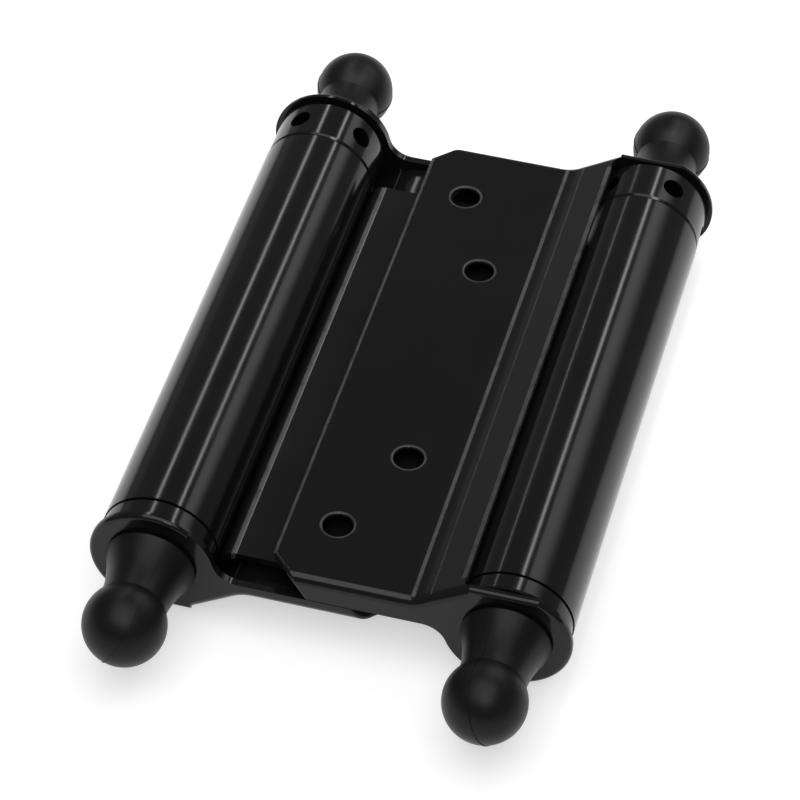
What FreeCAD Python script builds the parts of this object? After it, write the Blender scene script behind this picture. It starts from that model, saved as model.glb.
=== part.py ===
import FreeCAD, Part
import math
import os

# Double action cafe hinge, lying on its back: two pressed leaves on one rolled web with two sprung barrels.
# Millimetres. Barrels run along Y, the door side is at +X and the front faces up.
# The floor is z = 0, and the middle of the hinge is x = 0, y = 0.

# Leaf: plate, end flanges, climbing strip and ears, pressed from one sheet
leaf_length = 100.0
leaf_sheet = 1.2
leaf_clearance = 0.2
ear_lip = 0.7
ear_drop = 0.4
plate_rise = 3.6
plate_reach = 37.1
strip_angle = 32.0
strip_bend = 5.7
slot_edge = 7.0
slot_corner = 1.0
rim_round = 1.6
ear_round = 0.8
neck_round = 4.0
edge_round = 0.6
seam_height = -0.8
flange_gap = 0.15
corner_clip = 3.6
flange_slant = 2.6

# Screw holes in each leaf: an outer pair near the free edge, an inner pair nearer the barrel
hole_diameter = 4.5
hole_round = 0.4
countersink_depth = 0.6
outer_row = 29.25
outer_pitch = 76.0
inner_row = 22.7
inner_pitch = 43.2

# Centre web: one sheet, rolled into a barrel at each edge
axis_spacing = 55.0
web_sheet = 1.2
tube_radius = 9.2
web_angle = 54.0
web_bend = 2.0
seam_gap = 1.0

# Barrel inside: spindle, tension collar, base plug and torsion spring
spindle_diameter = 5.0
spindle_chamfer = 0.5
running_fit = 0.05
end_play = 0.3
collar_gap = 0.5
collar_height = 8.0
collar_step = 0.1
collar_holes = 5
collar_hole_diameter = 3.6
collar_hole_depth = 4.2
door_collar_turn = 64.0
jamb_collar_turn = 46.0
base_height = 3.3
base_step = 0.15
spigot_depth = 6.0
turned_chamfer = 0.4
spring_wire = 2.2
spring_radius = 5.3
spring_turns = 8
spring_runs = 10
spring_seat = 0.15
tang_length = 3.5
tang_clearance = 0.2

# Finial: moulded ball on a waisted cone, screwed to the end of the spindle
ball_radius = 6.4
ball_height = 12.7
finial_base = 7.0
finial_neck = 5.1
finial_waist = 0.5
finial_foot = 0.6
spindle_grip = 7.0
socket_spare = 1.0

# Sizes that follow from the ones above
leaf_half = leaf_length / 2
ear_inner = leaf_half - leaf_sheet
ear_radius = tube_radius + ear_lip
ear_top = tube_radius - ear_drop
strip_radius = tube_radius + leaf_clearance + leaf_sheet
axis_height = strip_radius
door_flange = seam_height
jamb_flange = flange_gap - seam_height
tube_inner = tube_radius - web_sheet
tube_middle = tube_radius - web_sheet / 2
tube_low = -ear_inner + end_play + base_height
tube_high = ear_inner - 2 * collar_gap - collar_height
collar_low = tube_high + collar_gap
collar_radius = tube_radius - collar_step
base_radius = tube_radius - base_step
spigot_radius = tube_inner - running_fit
spindle_radius = spindle_diameter / 2
bore_radius = spindle_radius + running_fit
spring_low = tube_low + spigot_depth + spring_seat + spring_wire / 2
spring_high = collar_low - spigot_depth - spring_seat - spring_wire / 2
cut_margin = 2 * strip_radius

ORIGIN = FreeCAD.Vector(0, 0, 0)
ALONG = FreeCAD.Vector(0, 1, 0)
UP = FreeCAD.Vector(0, 0, 1)


def across(x, z, y=0.0):
    """Point of an end view: x across the hinge, z up."""
    return FreeCAD.Vector(x, y, z)


def line(a, b):
    return Part.LineSegment(a, b).toShape()


def arc(a, middle, b):
    return Part.Arc(a, middle, b).toShape()


def face_of(edges):
    """Flat face inside a closed chain of edges."""
    return Part.Face(Part.Wire(Part.__sortEdges__(edges)))


def prism(points, direction):
    """Straight-sided solid from the corners of one flat end."""
    return Part.Face(Part.makePolygon(points + points[:1])).extrude(direction)


def rod(radius, low, high, x=0.0, z=0.0):
    """Round bar along the barrel."""
    return Part.makeCylinder(radius, high - low, across(x, z, low), ALONG)


def polar(radius, degrees, centre=ORIGIN):
    angle = math.radians(degrees)
    return centre + across(radius * math.cos(angle), radius * math.sin(angle))


def circles_at(shape, low, high, radius):
    """Round edges of a given radius that lie between two heights along the barrel."""
    found = []
    for edge in shape.Edges:
        box = edge.BoundBox
        round_edge = isinstance(edge.Curve, Part.Circle)
        if round_edge and abs(edge.Curve.Radius - radius) < 1e-6 and low <= box.YMin and box.YMax <= high:
            found.append(edge)
    return found


# Leaf, with its barrel axis at the origin and its plate towards -X


def strip_points(inset):
    """Corners of the sheet's outer face (inset 0) or inner face in the end view, from plate to barrel."""
    slope = math.radians(strip_angle)
    touch = polar(strip_radius - inset, 90 + strip_angle)
    run = (strip_radius * math.cos(slope) - plate_rise) / math.sin(slope)
    corner_x = -strip_radius * math.sin(slope) - run * math.cos(slope)
    bend_start = corner_x - strip_bend * math.tan(slope / 2)
    bend_centre = across(bend_start, plate_rise + strip_bend)
    radius = strip_bend + inset
    start = polar(radius, -90, bend_centre)
    middle = polar(radius, -90 + strip_angle / 2, bend_centre)
    end = polar(radius, -90 + strip_angle, bend_centre)
    return start, middle, end, touch


def crest_x():
    """Where the strip's outer face comes up to the flat top of the ear."""
    slope = math.radians(strip_angle)
    return (ear_top * math.cos(slope) - strip_radius) / math.sin(slope)


def pan_outline(flange_edge):
    """End view of the pan: plate, bend and strip, closed along the flange's edge."""
    start, middle, end, touch = strip_points(0.0)
    crest = across(crest_x(), ear_top)
    foot = across(crest.x, flange_edge)
    return face_of([
        line(across(-plate_reach, plate_rise), start),
        arc(start, middle, end),
        line(end, crest),
        line(crest, foot),
        line(foot, across(-plate_reach, flange_edge)),
        line(across(-plate_reach, flange_edge), across(-plate_reach, plate_rise)),
    ])


def ear_outline():
    """End view of an ear: a disc with a flat top, cut off where the pan begins."""
    crest = across(crest_x(), ear_top)
    flat_end = across(math.sqrt(ear_radius ** 2 - ear_top ** 2), ear_top)
    low = across(crest.x, -math.sqrt(ear_radius ** 2 - crest.x ** 2))
    return face_of([
        line(crest, flat_end),
        arc(flat_end, polar(ear_radius, -45), low),
        line(low, crest),
    ])


def neck_outline(flange_edge):
    """End view of the neck that joins the ear to the lower edge of the flange."""
    neck_z = flange_edge - neck_round
    neck_x = -math.sqrt((ear_radius + neck_round) ** 2 - neck_z ** 2)
    neck_centre = across(neck_x, neck_z)
    ear_end = neck_centre * (ear_radius / (ear_radius + neck_round))
    flange_end = across(neck_x, flange_edge)
    inward = (flange_end - neck_centre).normalize() + (ear_end - neck_centre).normalize()
    neck_middle = neck_centre + inward.normalize() * neck_round
    low = across(crest_x(), -math.sqrt(ear_radius ** 2 - crest_x() ** 2))
    rim_middle = (ear_end + low).normalize() * ear_radius
    foot = across(crest_x(), flange_edge)
    return face_of([
        line(foot, flange_end),
        arc(flange_end, neck_middle, ear_end),
        arc(ear_end, rim_middle, low),
        line(low, foot),
    ])


def leaf_hollow():
    """What the press leaves empty behind the sheet, between the end flanges."""
    start, middle, end, touch = strip_points(leaf_sheet)
    inner = strip_radius - leaf_sheet
    top = across(0, inner)
    beyond = across(cut_margin, inner)
    low_right = across(cut_margin, -cut_margin)
    low_left = across(-plate_reach - cut_margin, -cut_margin)
    plate_side = across(-plate_reach - cut_margin, plate_rise - leaf_sheet)
    section = face_of([
        line(plate_side, start),
        arc(start, middle, end),
        line(end, touch),
        arc(touch, polar(inner, 90 + strip_angle / 2), top),
        line(top, beyond),
        line(beyond, low_right),
        line(low_right, low_left),
        line(low_left, plate_side),
    ])
    section.translate(ALONG * -ear_inner)
    return section.extrude(ALONG * (2 * ear_inner))


def leaf_slot():
    """Opening over the barrel, between the strip's edge and the ears, with round corners."""
    block = Part.makeBox(
        slot_edge + cut_margin, 2 * ear_inner, 2 * cut_margin,
        FreeCAD.Vector(-slot_edge, -ear_inner, -cut_margin))
    corners = [e for e in block.Edges if abs(e.BoundBox.XMax + slot_edge) < 1e-6 and e.BoundBox.ZLength > 1]
    return block.makeFillet(slot_corner, corners)


def leaf_corner(side, flange_edge):
    """Corner cut at the free edge: one slanting plane through the plate and down the end flange."""
    first = FreeCAD.Vector(-plate_reach, side * (leaf_half - corner_clip), plate_rise)
    second = FreeCAD.Vector(-plate_reach + corner_clip, side * leaf_half, plate_rise)
    third = FreeCAD.Vector(second.x + flange_slant, second.y, flange_edge)
    along = (second - first).normalize()
    outward = along.cross(third - second).normalize()
    if outward.x > 0:
        outward = outward * -1
    down = along.cross(outward)
    reach_along = along * cut_margin
    reach_down = down * cut_margin
    corners = [
        second - reach_along - reach_down,
        second + reach_along - reach_down,
        second + reach_along + reach_down,
        second - reach_along + reach_down,
    ]
    return prism(corners, outward * cut_margin)


def screw_hole(x, y):
    """Punched hole, countersunk from the inside."""
    radius = hole_diameter / 2
    inside = plate_rise - leaf_sheet
    hole = Part.makeCylinder(radius, 3 * leaf_sheet, FreeCAD.Vector(x, y, inside - leaf_sheet), UP)
    sink = Part.makeCone(
        radius + 2 * countersink_depth, radius, 2 * countersink_depth,
        FreeCAD.Vector(x, y, inside - countersink_depth), UP)
    return [hole, sink]


def leaf_pan(flange_edge):
    """Plate, bend, strip and end flanges, open over the barrel."""
    section = pan_outline(flange_edge)
    section.translate(ALONG * -leaf_half)
    pan = section.extrude(ALONG * leaf_length)
    rims = []
    for edge in pan.Edges:
        box = edge.BoundBox
        if box.YLength < 1e-6 and box.ZMin > flange_edge + 1e-6:
            rims.append(edge)
    pan = pan.makeFillet(rim_round, rims)
    return pan.cut([leaf_hollow(), leaf_slot()])


def leaf_ear(side, flange_edge):
    """Ear and neck at one end of the leaf, with the ear's outer rim rounded."""
    ear = ear_outline().extrude(ALONG * (side * leaf_sheet))
    rims = []
    for edge in ear.Edges:
        box = edge.BoundBox
        if abs(box.YMin - side * leaf_sheet) < 1e-6 and box.YLength < 1e-6 and box.XMax > crest_x() + 1e-6:
            rims.append(edge)
    ear = ear.makeFillet(ear_round, rims)
    neck = neck_outline(flange_edge).extrude(ALONG * (side * leaf_sheet))
    for piece in (ear, neck):
        piece.translate(ALONG * (side * ear_inner))
    return [ear, neck]


def leaf(flange_edge):
    solid = leaf_pan(flange_edge).fuse(leaf_ear(-1, flange_edge) + leaf_ear(1, flange_edge))
    cuts = [rod(bore_radius, -leaf_length, leaf_length)]
    for side in (-1, 1):
        cuts.append(leaf_corner(side, flange_edge))
        cuts += screw_hole(-outer_row, side * outer_pitch / 2)
        cuts += screw_hole(-inner_row, side * inner_pitch / 2)
    solid = solid.cut(cuts).removeSplitter()
    hole_edges = []
    free_edges = []
    for edge in solid.Edges:
        box = edge.BoundBox
        at_plate = abs(box.ZMin - plate_rise) < 1e-6 and box.ZLength < 1e-6
        if at_plate and isinstance(edge.Curve, Part.Circle):
            hole_edges.append(edge)
        elif at_plate and box.XMax < -plate_reach + corner_clip and box.YLength > rim_round / 2:
            free_edges.append(edge)
    solid = solid.makeFillet(hole_round, hole_edges)
    return solid.makeFillet(edge_round, free_edges).Solids[0]


# Centre web, with the middle of the hinge at the origin


def bent_sheet(start, heading, moves, sheet):
    """Section of a sheet bent along a middle line.

    Each move is (length,) for a straight run, or (radius, turn) for a bend, turning left when positive.
    """
    left = []
    right = []
    place = start
    first_side = polar(sheet / 2, heading + 90)
    for move in moves:
        side = polar(sheet / 2, heading + 90)
        if len(move) == 1:
            after = place + polar(move[0], heading)
            left.append(line(place + side, after + side))
            right.append(line(place - side, after - side))
            place = after
            continue
        radius, turn = move
        way = math.copysign(1, turn)
        centre = place + polar(way * radius, heading + 90)
        begin = heading - way * 90
        for edges, offset in ((left, -way * sheet / 2), (right, way * sheet / 2)):
            points = [polar(radius + offset, begin + turn * part, centre) for part in (0, 0.5, 1)]
            edges.append(arc(*points))
        place = polar(radius, begin + turn, centre)
        heading += turn
    last = polar(sheet / 2, heading + 90)
    ends = [line(start + first_side, start - first_side), line(place + last, place - last)]
    return face_of(left + right + ends)


def centre_web():
    slope = math.radians(web_angle)
    seam = math.degrees(math.acos(tube_inner / tube_radius) + seam_gap / tube_radius)
    wrap = 360 - seam
    bend_middle = web_bend + web_sheet / 2
    bend_length = bend_middle * math.tan(slope / 2)
    incline = tube_middle / math.tan(slope) - bend_length
    flat = axis_spacing - 2 * tube_middle / math.sin(slope) - 2 * bend_length
    first = web_angle - 90 + seam
    start = polar(tube_middle, first, across(-axis_spacing / 2, 0))
    section = bent_sheet(start, first + 90, [
        (tube_middle, wrap),
        (incline,),
        (bend_middle, -web_angle),
        (flat,),
        (bend_middle, web_angle),
        (incline,),
        (tube_middle, -wrap),
    ], web_sheet)
    section.translate(ALONG * tube_low)
    solid = section.extrude(ALONG * (tube_high - tube_low))
    return solid.Solids[0]


# Barrel pieces, with their barrel axis at the origin


def tang_hole(low):
    """Hole that takes the straight end of the spring."""
    return rod(spring_wire / 2 + tang_clearance, low, low + tang_length + end_play, spring_radius)


def tension_collar(turn):
    """Turned collar with a ring of tommy-bar holes and a spigot inside the tube."""
    high = collar_low + collar_height
    spigot_end = collar_low - spigot_depth
    head = rod(collar_radius, collar_low, high)
    head = head.makeChamfer(turned_chamfer, circles_at(head, collar_low, high, collar_radius))
    solid = head.fuse(rod(spigot_radius, spigot_end, collar_low))
    middle = (collar_low + high) / 2
    cuts = [rod(bore_radius, spigot_end - 1, high + 1), tang_hole(spigot_end - end_play)]
    for index in range(collar_holes):
        outward = polar(1, turn + 360 * index / collar_holes)
        base = outward * (collar_radius - collar_hole_depth) + ALONG * middle
        cuts.append(Part.makeCylinder(collar_hole_diameter / 2, 2 * collar_hole_depth, base, outward))
    return solid.cut(cuts).removeSplitter().Solids[0]


def base_plug():
    """Plug at the low end of the tube: a plain ring outside, a spigot inside that holds the spring."""
    low = tube_low - base_height
    spigot_end = tube_low + spigot_depth
    ring = rod(base_radius, low, tube_low)
    ring = ring.makeChamfer(turned_chamfer, circles_at(ring, low, tube_low, base_radius))
    solid = ring.fuse(rod(spigot_radius, tube_low, spigot_end))
    cuts = [rod(bore_radius, low - 1, spigot_end + 1), tang_hole(spigot_end - tang_length)]
    return solid.cut(cuts).removeSplitter().Solids[0]


def spindle():
    end = leaf_half + spindle_grip
    solid = rod(spindle_radius, -end, end)
    return solid.makeChamfer(spindle_chamfer, circles_at(solid, -end, end, spindle_radius))


def torsion_spring():
    """Coil between the two spigots, in short straight runs, with a straight tang at each end."""
    runs = spring_turns * spring_runs
    path = [across(spring_radius, 0, spring_low - tang_length)]
    for index in range(runs + 1):
        place = polar(spring_radius, 360 * index / spring_runs)
        path.append(place + ALONG * (spring_low + (spring_high - spring_low) * index / runs))
    path.append(across(spring_radius, 0, spring_high + tang_length))
    section = Part.Wire(Part.makeCircle(spring_wire / 2, path[0], ALONG))
    mitred = 1
    return Part.makePolygon(path).makePipeShell([section], True, False, mitred)


def finial():
    """Ball finial that stands on the outer face of the upper ear."""
    neck_height = ball_height - math.sqrt(ball_radius ** 2 - finial_neck ** 2)
    socket_end = spindle_grip + socket_spare
    foot = across(finial_base, 0, finial_foot)
    foot_inner = across(finial_base - finial_foot, 0, 0)
    foot_middle = across(finial_base - finial_foot * (1 - math.sqrt(0.5)), 0, finial_foot * (1 - math.sqrt(0.5)))
    waist_radius = (finial_base + finial_neck) / 2 - finial_waist
    waist = across(waist_radius, 0, (finial_foot + neck_height) / 2)
    neck = across(finial_neck, 0, neck_height)
    side = across(ball_radius, 0, ball_height)
    tip = across(0, 0, ball_height + ball_radius)
    roof = across(0, 0, socket_end)
    socket_corner = across(bore_radius, 0, socket_end)
    socket_mouth = across(bore_radius, 0, 0)
    profile = face_of([
        line(socket_mouth, foot_inner),
        arc(foot_inner, foot_middle, foot),
        arc(foot, waist, neck),
        arc(neck, side, tip),
        line(tip, roof),
        line(roof, socket_corner),
        line(socket_corner, socket_mouth),
    ])
    solid = profile.revolve(ORIGIN, ALONG, 360)
    solid.translate(ALONG * leaf_half)
    return solid.Solids[0]


def low_end(shape):
    """The same piece at the other end of the barrel."""
    turned = shape.copy()
    turned.rotate(ORIGIN, FreeCAD.Vector(1, 0, 0), 180)
    return turned


def door_side(shape):
    placed = shape.copy()
    placed.translate(across(axis_spacing / 2, axis_height))
    return placed


def jamb_side(shape):
    """The same piece on the other barrel, turned half round about the length of the hinge."""
    placed = shape.copy()
    placed.rotate(ORIGIN, ALONG, 180)
    placed.translate(across(-axis_spacing / 2, axis_height))
    return placed


def hinge():
    """Every piece of the hinge in its place, by name."""
    web = centre_web()
    web.translate(UP * axis_height)
    pieces = {"centre_web": web}
    common = {
        "spindle": spindle(),
        "base_plug": base_plug(),
        "torsion_spring": torsion_spring(),
        "upper_finial": finial(),
        "lower_finial": low_end(finial()),
    }
    for side, place in (("door", door_side), ("jamb", jamb_side)):
        for name, shape in common.items():
            pieces[side + "_" + name] = place(shape)
    pieces["door_leaf"] = door_side(leaf(door_flange))
    pieces["jamb_leaf"] = jamb_side(leaf(jamb_flange))
    pieces["door_tension_collar"] = door_side(tension_collar(door_collar_turn))
    pieces["jamb_tension_collar"] = jamb_side(tension_collar(jamb_collar_turn + 180))
    return pieces


os.makedirs("parts", exist_ok=True)
for node, shape in hinge().items():
    shape.exportStep("parts/" + node + ".step")
    print(node, shape.isValid(), len(shape.Solids), round(shape.Volume, 1))
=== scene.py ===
import logging
import math
from dataclasses import dataclass, replace
from enum import Enum
from typing import Any, Optional

import bmesh
import bpy
from mathutils import Matrix, Vector


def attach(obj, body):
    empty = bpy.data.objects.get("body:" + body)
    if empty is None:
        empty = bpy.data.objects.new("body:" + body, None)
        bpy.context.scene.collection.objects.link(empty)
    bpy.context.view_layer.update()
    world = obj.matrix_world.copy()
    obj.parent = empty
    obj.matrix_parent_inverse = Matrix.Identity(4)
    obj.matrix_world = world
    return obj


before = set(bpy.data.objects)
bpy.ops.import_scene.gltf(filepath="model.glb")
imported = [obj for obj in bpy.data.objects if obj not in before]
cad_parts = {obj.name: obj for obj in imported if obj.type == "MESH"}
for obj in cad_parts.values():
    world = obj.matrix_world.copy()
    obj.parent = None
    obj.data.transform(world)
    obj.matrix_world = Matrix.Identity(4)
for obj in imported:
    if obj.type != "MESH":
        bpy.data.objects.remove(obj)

MM = 0.001
LOG = logging.getLogger("cafe_hinge")
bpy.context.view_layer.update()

# Height of both barrel axes and half the length of a leaf, in millimetres.
AXIS_HEIGHT = 10.6
LEAF_HALF = 50.0
# Almost all of a noise lies between these values.
NOISE_SPREAD = (0.3, 0.7)


class Side(Enum):
    """The two barrels of the hinge, by the x of their axis in millimetres."""

    JAMB = -27.5
    DOOR = 27.5


class End(Enum):
    """The two ends of a barrel, by their direction along Y."""

    UPPER = 1.0
    LOWER = -1.0


class Blend(Enum):
    """What a mix blends."""

    COLOUR = "RGBA"
    VALUE = "FLOAT"


def linear(hex_colour: str) -> tuple[float, float, float, float]:
    """Turn an sRGB hex colour into linear values.

    Args:
        hex_colour: six hex digits after a hash sign.

    Returns:
        Linear red, green and blue, with an alpha of 1.
    """
    channels = []
    for start in (1, 3, 5):
        value = int(hex_colour[start:start + 2], 16) / 255
        channels.append(value / 12.92 if value <= 0.04045 else ((value + 0.055) / 1.055) ** 2.4)
    return (*channels, 1.0)


def per_metre(millimetres: float) -> float:
    """Texture scale of a pattern that repeats about every so many millimetres."""
    return 1.0 / (millimetres * MM)


def add_node(tree: bpy.types.NodeTree, kind: str, links: Optional[dict[Any, Any]] = None,
             **settings: Any) -> bpy.types.Node:
    """Add one node with its settings and links.

    Args:
        tree: the node tree that takes the node.
        kind: the node's type without its "ShaderNode" start.
        links: value, or output socket of another node, for each input by name or number.
        **settings: properties of the node itself.

    Returns:
        The new node.
    """
    node = tree.nodes.new("ShaderNode" + kind)
    for name, value in settings.items():
        setattr(node, name, value)
    for name, value in (links or {}).items():
        if isinstance(value, bpy.types.NodeSocket):
            tree.links.new(value, node.inputs[name])
        else:
            node.inputs[name].default_value = value
    return node


def maths(tree: bpy.types.NodeTree, operation: str, *values: Any) -> bpy.types.NodeSocket:
    """Output of one sum on values or sockets."""
    return add_node(tree, "Math", dict(enumerate(values)), operation=operation).outputs[0]


def mixed(tree: bpy.types.NodeTree, blend: Blend, factor: Any, first: Any,
          second: Any) -> bpy.types.NodeSocket:
    """Mix two colours or two values.

    Args:
        tree: the node tree.
        blend: whether colours or values are mixed.
        factor: share of the second one.
        first: what shows at a factor of 0.
        second: what shows at a factor of 1.

    Returns:
        The mix's output.
    """
    links = {"Factor": factor, "A": first, "B": second}
    return add_node(tree, "Mix", links, data_type=blend.value).outputs["Result"]


def noise(tree: bpy.types.NodeTree, place: bpy.types.NodeSocket, pattern_mm: float,
          detail: float = 2.0) -> bpy.types.NodeSocket:
    """Output of a noise with a pattern of so many millimetres."""
    links = {"Vector": place, "Scale": per_metre(pattern_mm), "Detail": detail}
    return add_node(tree, "TexNoise", links).outputs[0]


def noise_range(tree: bpy.types.NodeTree, value: bpy.types.NodeSocket, limits: tuple[float, float],
                spread: tuple[float, float] = NOISE_SPREAD) -> bpy.types.NodeSocket:
    """Stretch a noise over a range of values.

    Args:
        tree: the node tree.
        value: the noise's output.
        limits: lowest and highest value wanted.
        spread: values of the noise that give them.

    Returns:
        The stretched output.
    """
    links = {"Value": value, "From Min": spread[0], "From Max": spread[1], "To Min": limits[0],
             "To Max": limits[1]}
    return add_node(tree, "MapRange", links).outputs[0]


def distance(tree: bpy.types.NodeTree, point: bpy.types.NodeSocket,
             centre_mm: tuple[float, float, float]) -> bpy.types.NodeSocket:
    """Distance in metres between a socket's point and a fixed place in millimetres."""
    centre = [value * MM for value in centre_mm]
    return add_node(tree, "VectorMath", {0: point, 1: centre}, operation="DISTANCE").outputs["Value"]


def rippled(tree: bpy.types.NodeTree, height: bpy.types.NodeSocket, depth_mm: float) -> bpy.types.NodeSocket:
    """Normals of a surface with ripples of so many millimetres."""
    links = {"Height": height, "Distance": depth_mm * MM, "Strength": 1.0}
    return add_node(tree, "Bump", links).outputs[0]


def new_material(name: str) -> tuple[bpy.types.Material, bpy.types.NodeTree]:
    """Make an empty node material.

    Args:
        name: the material's name.

    Returns:
        The material and its node tree.
    """
    material = bpy.data.materials.new(name)
    material.use_nodes = True
    material.node_tree.nodes.clear()
    return material, material.node_tree


@dataclass(frozen=True)
class HighlightLine:
    """A painted highlight line along the hinge, in millimetres."""

    x: float
    half_width: float
    half_length: float
    share: float = 1.0


@dataclass(frozen=True)
class HighlightRing:
    """Painted highlight rings round the rims of two holes, alike on both sides of the middle, in
    millimetres.
    """

    x: float
    y: float
    radius: float = 2.6
    half_width: float = 0.17
    share: float = 0.6


@dataclass(frozen=True)
class StovedEnamel:
    """Gloss black stoved enamel on pressed steel: deep black, sharp reflections, a trace of orange peel.

    Along sharp edges and creases, fine paler and duller lines are painted in as highlights.
    """

    name: str
    highlight_lines: tuple[HighlightLine, ...] = ()
    highlight_rings: tuple[HighlightRing, ...] = ()
    # Which way the outer face looks: 1 up, -1 down, 0 for painted highlight lines on both faces.
    outer_way: float = 0.0
    # The outer face is farther than this from the height of the axes.
    outer_height_mm: float = 3.0
    # Inside a barrel, closer to its axis than this, the coat is painted near black and dull as shade.
    shade_core_x_mm: Optional[float] = None
    shade_core_radius_mm: float = 8.8
    shade_core_colour: str = "#040404"
    shade_core_roughness: float = 0.9
    shade_core_shine: float = 0.05
    shine: float = 0.5
    # Painted highlight: the paler, duller colour of the lines and rings.
    highlight_colour: str = "#4c4c4a"
    highlight_roughness: float = 0.42
    patch_mm: float = 2.5
    patch_spread: tuple[float, float] = (0.3, 0.6)
    patch_share: tuple[float, float] = (0.5, 1.0)
    colour: str = "#0d0d0e"
    worn_colour: str = "#121212"
    peel_mm: float = 1.6
    peel_detail: float = 1.5
    peel_depth_mm: float = 0.0035
    flow_mm: float = 14.0
    roughness: tuple[float, float] = (0.12, 0.15)
    ior: float = 1.35

    def shade_core_mask(self, tree: bpy.types.NodeTree, apart: bpy.types.Node) -> bpy.types.NodeSocket:
        """Mark everything within a radius of the barrel's axis, where shade is painted in.

        Args:
            tree: the paint's node tree.
            apart: node with the place's x, y and z.

        Returns:
            Output that is 1 in the core.
        """
        section = add_node(tree, "CombineXYZ", {0: apart.outputs[0], 2: apart.outputs[2]})
        away = distance(tree, section.outputs[0], (self.shade_core_x_mm, 0.0, AXIS_HEIGHT))
        return maths(tree, "LESS_THAN", away, self.shade_core_radius_mm * MM)

    def highlight_mask(self, tree: bpy.types.NodeTree, place: bpy.types.NodeSocket,
                  apart: bpy.types.Node) -> bpy.types.NodeSocket:
        """Mark the painted highlight lines and rims, broken up along their length.

        Args:
            tree: the paint's node tree.
            place: the place on the piece.
            apart: node with the place's x, y and z.

        Returns:
            Output with the share of thin coat.
        """
        x, y, z = apart.outputs
        highlight_share = 0.0
        for line in self.highlight_lines:
            across = maths(tree, "COMPARE", x, line.x * MM, line.half_width * MM)
            along = maths(tree, "COMPARE", y, 0.0, line.half_length * MM)
            highlight_share = maths(tree, "MULTIPLY_ADD", across, maths(tree, "MULTIPLY", along, line.share), highlight_share)
        # Holes on both sides of the middle are alike, so y is folded over.
        folded = add_node(tree, "CombineXYZ", {0: x, 1: maths(tree, "ABSOLUTE", y)})
        for ring in self.highlight_rings:
            away = distance(tree, folded.outputs[0], (ring.x, ring.y, 0.0))
            rim = maths(tree, "COMPARE", away, ring.radius * MM, ring.half_width * MM)
            highlight_share = maths(tree, "MULTIPLY_ADD", rim, ring.share, highlight_share)
        if self.outer_way:
            rise = maths(tree, "MULTIPLY_ADD", z, self.outer_way, -self.outer_way * AXIS_HEIGHT * MM)
            outside = maths(tree, "GREATER_THAN", rise, self.outer_height_mm * MM)
            highlight_share = maths(tree, "MULTIPLY", highlight_share, outside)
        patch = noise(tree, place, self.patch_mm)
        return maths(tree, "MULTIPLY", highlight_share, noise_range(tree, patch, self.patch_share, self.patch_spread))

    def make(self) -> bpy.types.Material:
        """Build the paint's node material."""
        material, tree = new_material(self.name)
        place = add_node(tree, "TexCoord").outputs["Object"]
        apart = add_node(tree, "SeparateXYZ", {0: place})
        # Flow: the coat is thicker in some places, so gloss and depth of black wander slowly.
        flow = noise(tree, place, self.flow_mm)
        dull = noise_range(tree, flow, self.roughness)
        colour = mixed(tree, Blend.COLOUR, flow, linear(self.colour), linear(self.worn_colour))
        shine = self.shine
        if self.shade_core_x_mm is not None:
            # Painted shade: the holes of a collar look into a barrel painted near black and dull inside.
            shade_core = self.shade_core_mask(tree, apart)
            colour = mixed(tree, Blend.COLOUR, shade_core, colour, linear(self.shade_core_colour))
            dull = mixed(tree, Blend.VALUE, shade_core, dull, self.shade_core_roughness)
            shine = mixed(tree, Blend.VALUE, shade_core, self.shine, self.shade_core_shine)
        if self.highlight_lines:
            # Painted highlights: edges and creases are painted as fine pale lines.
            highlight_share = self.highlight_mask(tree, place, apart)
            colour = mixed(tree, Blend.COLOUR, highlight_share, colour, linear(self.highlight_colour))
            dull = mixed(tree, Blend.VALUE, highlight_share, dull, self.highlight_roughness)
        # Orange peel: soft ripples that make long reflections waver.
        peel = noise(tree, place, self.peel_mm, self.peel_detail)
        shader = add_node(tree, "BsdfPrincipled", {
            "Base Color": colour, "Roughness": dull, "IOR": self.ior, "Specular IOR Level": shine,
            "Normal": rippled(tree, peel, self.peel_depth_mm)})
        add_node(tree, "OutputMaterial", {"Surface": shader.outputs[0]})
        return material


@dataclass(frozen=True)
class MouldedNylon:
    """Black moulded nylon: dull satin black with a fine mould grain and a soft broad highlight."""

    name: str = "matte_black_moulded_nylon"
    colour: str = "#090909"
    pale_colour: str = "#0e0e0e"
    # The real grain is about 0.1 mm; it is drawn at 0.4 mm so that it shows at this size.
    grain_mm: float = 0.4
    grain_depth_mm: float = 0.012
    cloud_mm: float = 5.0
    cloud_detail: float = 3.0
    roughness: tuple[float, float] = (0.36, 0.46)
    ior: float = 1.5
    specular: float = 0.2

    def make(self) -> bpy.types.Material:
        """Build the plastic's node material."""
        material, tree = new_material(self.name)
        place = add_node(tree, "TexCoord").outputs["Object"]
        # Clouds: the satin of the mould is not quite even, so the black and its dullness drift.
        cloud = noise(tree, place, self.cloud_mm, self.cloud_detail)
        colour = mixed(tree, Blend.COLOUR, cloud, linear(self.colour), linear(self.pale_colour))
        # Grain: it breaks up the highlight of the balls.
        grain = noise(tree, place, self.grain_mm)
        shader = add_node(tree, "BsdfPrincipled", {
            "Base Color": colour, "Roughness": noise_range(tree, cloud, self.roughness), "IOR": self.ior,
            "Specular IOR Level": self.specular, "Normal": rippled(tree, grain, self.grain_depth_mm)})
        add_node(tree, "OutputMaterial", {"Surface": shader.outputs[0]})
        return material


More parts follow.
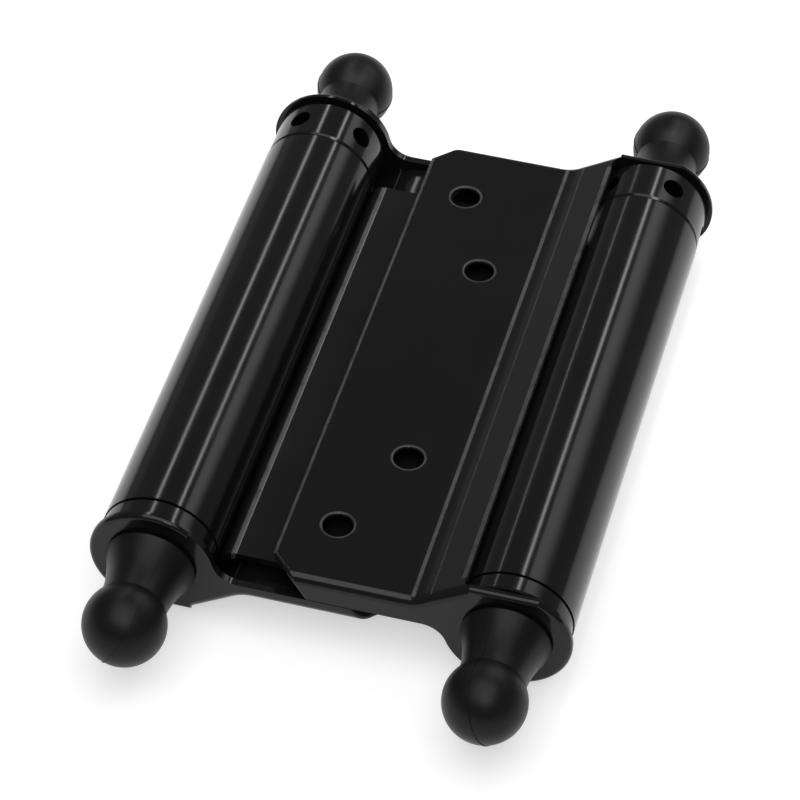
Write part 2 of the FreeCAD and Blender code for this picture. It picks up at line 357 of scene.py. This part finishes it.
@dataclass(frozen=True)
class DrawnSteel:
    """Bare drawn steel of spring wire and spindle: grey metal with fine lines along the drawing."""

    name: str = "bare_drawn_steel"
    colour: str = "#a9a9ab"
    oiled_colour: str = "#8d8c8a"
    line_mm: float = 0.25
    # Drawing lines run along the bar, so the pattern is stretched along Y.
    stretch: tuple[float, float, float] = (1.0, 0.02, 1.0)
    roughness: tuple[float, float] = (0.25, 0.42)

    def make(self) -> bpy.types.Material:
        """Build the steel's node material."""
        material, tree = new_material(self.name)
        place = add_node(tree, "TexCoord").outputs["Object"]
        stretched = add_node(tree, "Mapping", {"Vector": place, "Scale": self.stretch})
        lines = noise(tree, stretched.outputs[0], self.line_mm)
        colour = mixed(tree, Blend.COLOUR, lines, linear(self.colour), linear(self.oiled_colour))
        shader = add_node(tree, "BsdfPrincipled", {
            "Base Color": colour, "Roughness": noise_range(tree, lines, self.roughness), "Metallic": 1.0})
        add_node(tree, "OutputMaterial", {"Surface": shader.outputs[0]})
        return material


@dataclass(frozen=True)
class StudioPaper:
    """White studio paper: even matt white that keeps a soft shadow."""

    name: str = "white_studio_paper"
    colour: str = "#c6c6c6"
    lift: float = 0.56

    def make(self) -> bpy.types.Material:
        """Build the paper's node material, lifted to white where it is seen or mirrored."""
        material, tree = new_material(self.name)
        paper = add_node(tree, "BsdfDiffuse", {"Color": linear(self.colour)})
        path = add_node(tree, "LightPath")
        seen = path.outputs["Is Camera Ray"]
        for ray in ("Is Glossy Ray", "Is Transmission Ray"):
            seen = maths(tree, "MAXIMUM", seen, path.outputs[ray])
        glow = add_node(tree, "Emission", {"Strength": maths(tree, "MULTIPLY", seen, self.lift)})
        both = add_node(tree, "AddShader", {0: paper.outputs[0], 1: glow.outputs[0]})
        add_node(tree, "OutputMaterial", {"Surface": both.outputs[0]})
        return material


def dress(node: bpy.types.Object, material: bpy.types.Material) -> None:
    """Give a whole piece one material."""
    node.data.materials.clear()
    node.data.materials.append(material)


def dress_node(name: str, material: bpy.types.Material) -> None:
    """Dress one CAD piece and log it."""
    dress(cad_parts[name], material)
    LOG.info("%s: dressed in %s", name, material.name)


def piece_from(shape: bmesh.types.BMesh, name: str, body: str, material: bpy.types.Material,
               sharp_degrees: float = 35.0) -> None:
    """Turn a finished bmesh into a piece that rides on a body.

    Args:
        shape: the mesh, in metres in the hinge's frame; it is freed.
        name: the piece's name.
        body: the CAD body that carries it.
        material: its finish.
        sharp_degrees: edges folded by more than this stay crisp.
    """
    bmesh.ops.recalc_face_normals(shape, faces=shape.faces)
    mesh = bpy.data.meshes.new(name)
    for face in shape.faces:
        face.smooth = True
    shape.to_mesh(mesh)
    shape.free()
    mesh.set_sharp_from_angle(angle=math.radians(sharp_degrees))
    piece = bpy.data.objects.new(name, mesh)
    bpy.context.scene.collection.objects.link(piece)
    dress(piece, material)
    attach(piece, body)


def circle_centre(a: Vector, b: Vector, c: Vector) -> Vector:
    """Find the centre of the circle through three points of the XY plane.

    Args:
        a: first point.
        b: second point.
        c: third point.

    Returns:
        The centre.
    """
    first = b - a
    second = c - a
    twice = 2 * (first.x * second.y - first.y * second.x)
    x = (second.y * first.length_squared - first.y * second.length_squared) / twice
    y = (first.x * second.length_squared - second.x * first.length_squared) / twice
    return a + Vector((x, y, 0))


def everything(shape: bmesh.types.BMesh) -> list[Any]:
    """All vertices, edges and faces of a mesh."""
    return shape.verts[:] + shape.edges[:] + shape.faces[:]


def turn_about(shape: bmesh.types.BMesh, angle: float, axis: str, verts: Optional[list[Any]] = None) -> None:
    """Turn a mesh, or some of its vertices, about an axis through the origin.

    Args:
        shape: the mesh.
        angle: the turn in radians.
        axis: the axis's letter.
        verts: the vertices that turn, or None for all.
    """
    matrix = Matrix.Rotation(angle, 3, axis)
    bmesh.ops.rotate(shape, verts=verts or shape.verts[:], cent=(0, 0, 0), matrix=matrix)


@dataclass
class FinialSeam:
    """Moulding seam of one ball finial: a fine raised line over cone and ball, on two opposite sides."""

    side: Side
    end: End
    turn_degrees: float
    plastic: bpy.types.Material
    ball_radius: float = 6.4
    ball_height: float = 12.7
    foot_radius: float = 7.0
    foot_height: float = 0.6
    neck_radius: float = 5.1
    waist: float = 0.5
    proud: float = 0.1
    sunk: float = 0.15
    width: float = 0.34
    tip_degrees: float = 4.0
    steps: int = 28
    width_steps: int = 2

    def ribbon(self, shape: bmesh.types.BMesh, centre: Vector, start: Vector, end: Vector, proud: float,
               sunk: float) -> None:
        """Lay a thin upright ribbon along one arc of the finial's outline, in the XY plane.

        Args:
            shape: the mesh that takes it.
            centre: the arc's centre.
            start: the arc's first point.
            end: the arc's last point.
            proud: how far the ribbon's outer edge is from the outline, away from the arc's centre.
            sunk: how far its inner edge is from the outline, towards the arc's centre.
        """
        radius = (start - centre).length
        first = shape.verts.new(centre + (start - centre) * (1 + proud / radius))
        second = shape.verts.new(centre + (start - centre) * (1 - sunk / radius))
        across = shape.edges.new((first, second))
        turn = math.atan2((start - centre).cross(end - centre).z, (start - centre).dot(end - centre))
        bmesh.ops.spin(shape, geom=[first, second, across], cent=centre, axis=(0, 0, 1), angle=turn,
                       steps=self.steps)

    def outline(self, shape: bmesh.types.BMesh) -> None:
        """Lay the ribbons of ball and cone on a finial that stands at the origin along Y.

        Args:
            shape: the mesh that takes them.
        """
        drop = math.sqrt(self.ball_radius ** 2 - self.neck_radius ** 2)
        ball = Vector((0, self.ball_height, 0))
        neck = Vector((self.neck_radius, self.ball_height - drop, 0))
        foot = Vector((self.foot_radius, self.foot_height, 0))
        middle = (neck + foot) / 2 - Vector((self.waist, 0, 0))
        tip_angle = math.radians(self.tip_degrees)
        tip = ball + Vector((math.sin(tip_angle), math.cos(tip_angle), 0)) * self.ball_radius
        self.ribbon(shape, ball, tip, neck, self.proud, self.sunk)
        # The cone is hollow-sided, so its arc's centre is outside and the ribbon's edges change places.
        self.ribbon(shape, circle_centre(neck, middle, foot), neck, foot, -self.proud, -self.sunk)

    def build(self) -> None:
        """Model the seam on both sides and set it on its finial."""
        shape = bmesh.new()
        self.outline(shape)
        sweep = self.width / self.foot_radius
        turn_about(shape, -sweep / 2, "Y")
        bmesh.ops.spin(shape, geom=everything(shape), cent=(0, 0, 0), axis=(0, 1, 0), angle=sweep,
                       steps=self.width_steps)
        twin = bmesh.ops.duplicate(shape, geom=everything(shape))
        copies = [part for part in twin["geom"] if isinstance(part, bmesh.types.BMVert)]
        turn_about(shape, math.pi, "Y", copies)
        if self.end is End.LOWER:
            turn_about(shape, math.pi, "X")
        turn_about(shape, -math.radians(self.turn_degrees), "Y")
        place = Vector((self.side.value, self.end.value * LEAF_HALF, AXIS_HEIGHT))
        bmesh.ops.translate(shape, verts=shape.verts, vec=place)
        bmesh.ops.scale(shape, verts=shape.verts, vec=(MM, MM, MM))
        side = self.side.name.lower()
        name = side + "_" + self.end.name.lower() + "_finial_seam"
        piece_from(shape, name, side + "_leaf", self.plastic)
        LOG.info("%s: moulding seam", name)


@dataclass
class Barrel:
    """One sprung barrel: collar, base plug, spindle, spring and two finials."""

    side: Side
    plastic: bpy.types.Material
    steel: bpy.types.Material

    def build(self) -> None:
        """Dress the barrel's CAD pieces."""
        side = self.side.name.lower()
        paint = StovedEnamel(side + "_barrel_gloss_black_stoved_enamel", shade_core_x_mm=self.side.value).make()
        finishes = {"tension_collar": paint, "base_plug": paint, "spindle": self.steel,
                    "torsion_spring": self.steel, "upper_finial": self.plastic, "lower_finial": self.plastic}
        for name, material in finishes.items():
            dress_node(side + "_" + name, material)


@dataclass
class Pressings:
    """The two leaves and the centre web, in one paint with highlights painted along their own edges and
    creases.
    """

    # Painted highlight lines of the door leaf: free edge, fold, second fold and edge of the slot.
    leaf_highlight_lines: tuple[HighlightLine, ...] = (
        HighlightLine(x=-9.42, half_width=0.28, half_length=46.0),
        HighlightLine(x=12.9, half_width=0.3, half_length=49.0, share=0.8),
        HighlightLine(x=15.6, half_width=0.15, half_length=49.0, share=0.4),
        HighlightLine(x=20.15, half_width=0.4, half_length=47.0, share=0.8),
    )
    # Painted highlight rings round the screw holes of the door leaf: the outer and the inner pair.
    leaf_highlight_rings: tuple[HighlightRing, ...] = (HighlightRing(x=-1.75, y=38.0), HighlightRing(x=4.8, y=21.6))
    # Painted highlight lines on the creases of the web, where it leaves each barrel.
    crease_highlights: tuple[HighlightLine, ...] = (
        HighlightLine(x=-16.05, half_width=0.34, half_length=50.0, share=0.8),
        HighlightLine(x=16.05, half_width=0.34, half_length=50.0, share=0.8),
    )

    def build(self) -> None:
        """Dress the pressed pieces; the jamb leaf is the door leaf turned half round."""
        for node, way in (("door_leaf", 1.0), ("jamb_leaf", -1.0)):
            lines = tuple(replace(line, x=way * line.x) for line in self.leaf_highlight_lines)
            rings = tuple(replace(ring, x=way * ring.x) for ring in self.leaf_highlight_rings)
            dress_node(node, StovedEnamel(node + "_gloss_black_stoved_enamel", lines, rings, way).make())
        dress_node("centre_web", StovedEnamel("centre_web_gloss_black_stoved_enamel", self.crease_highlights).make())


@dataclass(frozen=True)
class Softbox:
    """One lamp of the studio, with its length along the hinge; in millimetres and watts."""

    name: str
    place: tuple[float, float, float]
    size: tuple[float, float]
    watts: float
    # The point that it faces, at the height of the barrels' axes.
    aim: tuple[float, float] = (0.0, 0.0)
    # Where across its width the light starts to fade out, from 0 to 1, or None for an even light.
    fade_start: Optional[float] = None

    def fade(self, data: bpy.types.AreaLight) -> None:
        """Let the light fade out towards the lamp's right edge.

        Args:
            data: the lamp's data.
        """
        data.use_nodes = True
        tree = data.node_tree
        tree.nodes.clear()
        apart = add_node(tree, "SeparateXYZ", {0: add_node(tree, "NewGeometry").outputs["Parametric"]})
        faded = add_node(tree, "MapRange", {
            "Value": apart.outputs[0], "From Min": self.fade_start, "From Max": 1.0, "To Min": 1.0,
            "To Max": 0.0}, interpolation_type="SMOOTHSTEP")
        glow = add_node(tree, "Emission", {"Strength": faded.outputs[0]})
        add_node(tree, "OutputLight", {"Surface": glow.outputs[0]})

    def hang(self) -> None:
        """Hang the lamp in its place, facing the point that it aims at."""
        data = bpy.data.lights.new(self.name, "AREA")
        data.shape = "RECTANGLE"
        data.size = self.size[0] * MM
        data.size_y = self.size[1] * MM
        data.energy = self.watts
        if self.fade_start is not None:
            self.fade(data)
        lamp = bpy.data.objects.new(self.name, data)
        place = Vector(self.place) * MM
        back = (place - Vector((*self.aim, AXIS_HEIGHT)) * MM).normalized()
        across = Vector((0, 1, 0)).cross(back).normalized()
        along = back.cross(across)
        lamp.matrix_world = Matrix.Translation(place) @ Matrix((across, along, back)).transposed().to_4x4()
        bpy.context.scene.collection.objects.link(lamp)


@dataclass
class Studio:
    """Floor, lamps and camera."""

    paper: bpy.types.Material
    floor_mm: float = 4000.0
    room_grey: float = 0.2
    lens_mm: float = 174.0
    sensor_mm: float = 36.0
    # Nearest and farthest distance that the camera sees, in metres.
    clip: tuple[float, float] = (0.01, 50.0)
    # Camera axes in the hinge's frame: right, down and forward, and its place from the middle of the hinge.
    right: tuple[float, float, float] = (0.9645, 0.2638, 0.0094)
    down: tuple[float, float, float] = (0.1938, -0.6838, -0.7035)
    forward: tuple[float, float, float] = (-0.1791, 0.6804, -0.7106)
    camera_mm: tuple[float, float, float] = (107.7, -418.1, 440.4)
    lamps: tuple[Softbox, ...] = (
        Softbox("right_softbox", (83.5, 110.0, 102.5), (76.0, 220.0), 0.09, (-10.0, 110.0), fade_start=0.3),
        Softbox("near_strip", (33.0, 130.0, 149.0), (11.0, 220.0), 0.066, (0.0, 130.0)),
        Softbox("left_strip", (-63.0, 105.0, 110.0), (16.0, 220.0), 0.08, (-140.0, 105.0)),
        Softbox("left_low_box", (-790.0, 800.0, 205.0), (230.0, 1300.0), 0.1),
        Softbox("overhead_box", (20.0, -260.0, 950.0), (1000.0, 1000.0), 7.2),
        Softbox("front_box", (118.0, -445.0, 500.0), (110.0, 110.0), 0.35),
    )

    def floor(self) -> None:
        """Lay the paper floor under the hinge."""
        shape = bmesh.new()
        bmesh.ops.create_grid(shape, x_segments=1, y_segments=1, size=self.floor_mm / 2 * MM)
        mesh = bpy.data.meshes.new("studio_floor")
        shape.to_mesh(mesh)
        shape.free()
        floor = bpy.data.objects.new("studio_floor", mesh)
        bpy.context.scene.collection.objects.link(floor)
        dress(floor, self.paper)

    def camera(self) -> None:
        """Set the camera where the photograph was taken from."""
        data = bpy.data.cameras.new("photo_camera")
        data.sensor_width = self.sensor_mm
        data.lens = self.lens_mm
        data.clip_start, data.clip_end = self.clip
        camera = bpy.data.objects.new("photo_camera", data)
        axes = Matrix((self.right, -Vector(self.down), -Vector(self.forward))).transposed()
        camera.matrix_world = Matrix.Translation(Vector(self.camera_mm) * MM) @ axes.to_4x4()
        bpy.context.scene.collection.objects.link(camera)
        bpy.context.scene.camera = camera

    def world(self) -> None:
        """Fill the room with even dim light."""
        world = bpy.data.worlds.new("studio_room")
        world.use_nodes = True
        tree = world.node_tree
        tree.nodes.clear()
        room = add_node(tree, "Background", {"Color": (self.room_grey, self.room_grey, self.room_grey, 1.0)})
        add_node(tree, "OutputWorld", {"Surface": room.outputs[0]})
        bpy.context.scene.world = world

    def build(self) -> None:
        """Set up the whole studio."""
        self.floor()
        self.camera()
        self.world()
        for lamp in self.lamps:
            lamp.hang()
        bpy.context.scene.view_settings.view_transform = "Standard"


# How far each finial's seam is turned about its barrel, in degrees.
SEAM_TURNS = {
    (Side.DOOR, End.LOWER): 110.0,
    (Side.JAMB, End.LOWER): 62.0,
    (Side.DOOR, End.UPPER): 168.0,
    (Side.JAMB, End.UPPER): 168.0,
}


def main() -> None:
    """Build and dress the hinge piece by piece, then set up the studio."""
    logging.basicConfig(level=logging.INFO, format="%(name)s %(message)s")
    plastic = MouldedNylon().make()
    steel = DrawnSteel().make()
    Pressings().build()
    for side in Side:
        Barrel(side, plastic, steel).build()
    for (side, end), turn in SEAM_TURNS.items():
        FinialSeam(side, end, turn, plastic).build()
    Studio(StudioPaper().make()).build()


if __name__ == "__main__":
    main()
